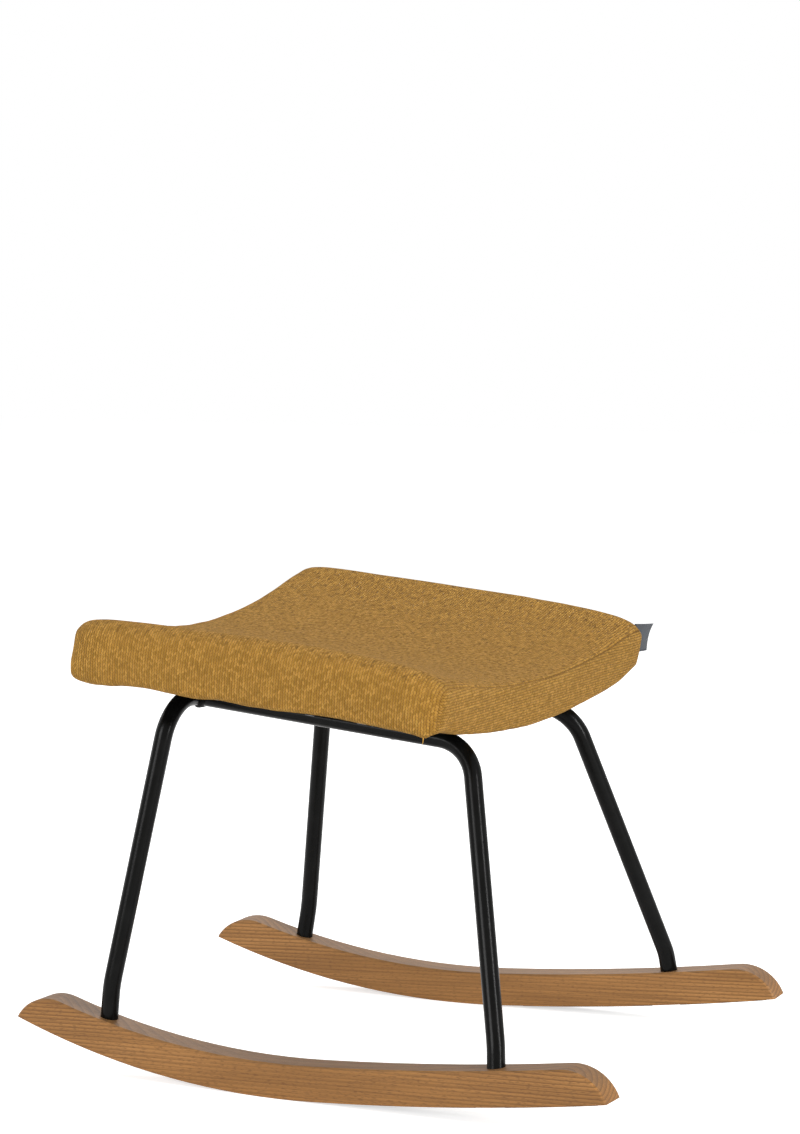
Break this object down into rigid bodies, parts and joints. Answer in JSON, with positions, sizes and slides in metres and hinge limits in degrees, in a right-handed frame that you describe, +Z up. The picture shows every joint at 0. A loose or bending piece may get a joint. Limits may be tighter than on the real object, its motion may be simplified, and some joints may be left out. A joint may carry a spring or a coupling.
{
  "type": "rocking footstool",
  "caption": "Upholstered footstool with a trough-shaped seat on a bent black tube frame that stands on curved solid oak rockers.",
  "frame": {"origin": "on the floor, below the middle of the stool's bounding box", "axes": "+Z up, X along the rockers with the short upturned front end at -X, Y across them"},
  "size_m": [0.5866, 0.45, 0.4158],
  "materials": {
    "oak": "oiled satin, straight grain along the rocker",
    "black_powder_coat": "matte black powder coat on steel",
    "zinc_steel": "zinc plated",
    "felt": "dark pressed felt",
    "plywood": "raw beech plywood",
    "foam": "cut polyurethane foam",
    "cover_fabric": "coarse woven ochre upholstery cloth",
    "dust_cloth": "black non-woven cloth",
    "tag_ribbon": "dark grey woven ribbon, plain"
  },
  "bodies": {
    "root": {"right_rocker": "oak", "left_rocker": "oak", "leg_plugs": "zinc_steel", "rocker_bolts": "zinc_steel", "rocker_washers": "zinc_steel", "right_glide_strips": "felt", "left_glide_strips": "felt", "front_leg_frame": "black_powder_coat", "right_rear_leg": "black_powder_coat", "left_rear_leg": "black_powder_coat", "rear_cross_tube": "black_powder_coat", "frame_welds": "black_powder_coat", "fixing_plates": "black_powder_coat", "seat_screws": "zinc_steel", "seat_washers": "zinc_steel", "seat_nuts": "zinc_steel", "seat_board": "plywood", "foam_pad": "foam", "cover_top_panel": "cover_fabric", "cover_front_band": "cover_fabric", "cover_rear_band": "cover_fabric", "dust_cover": "dust_cloth", "side_tag": "tag_ribbon"}
  },
  "joints": []
}
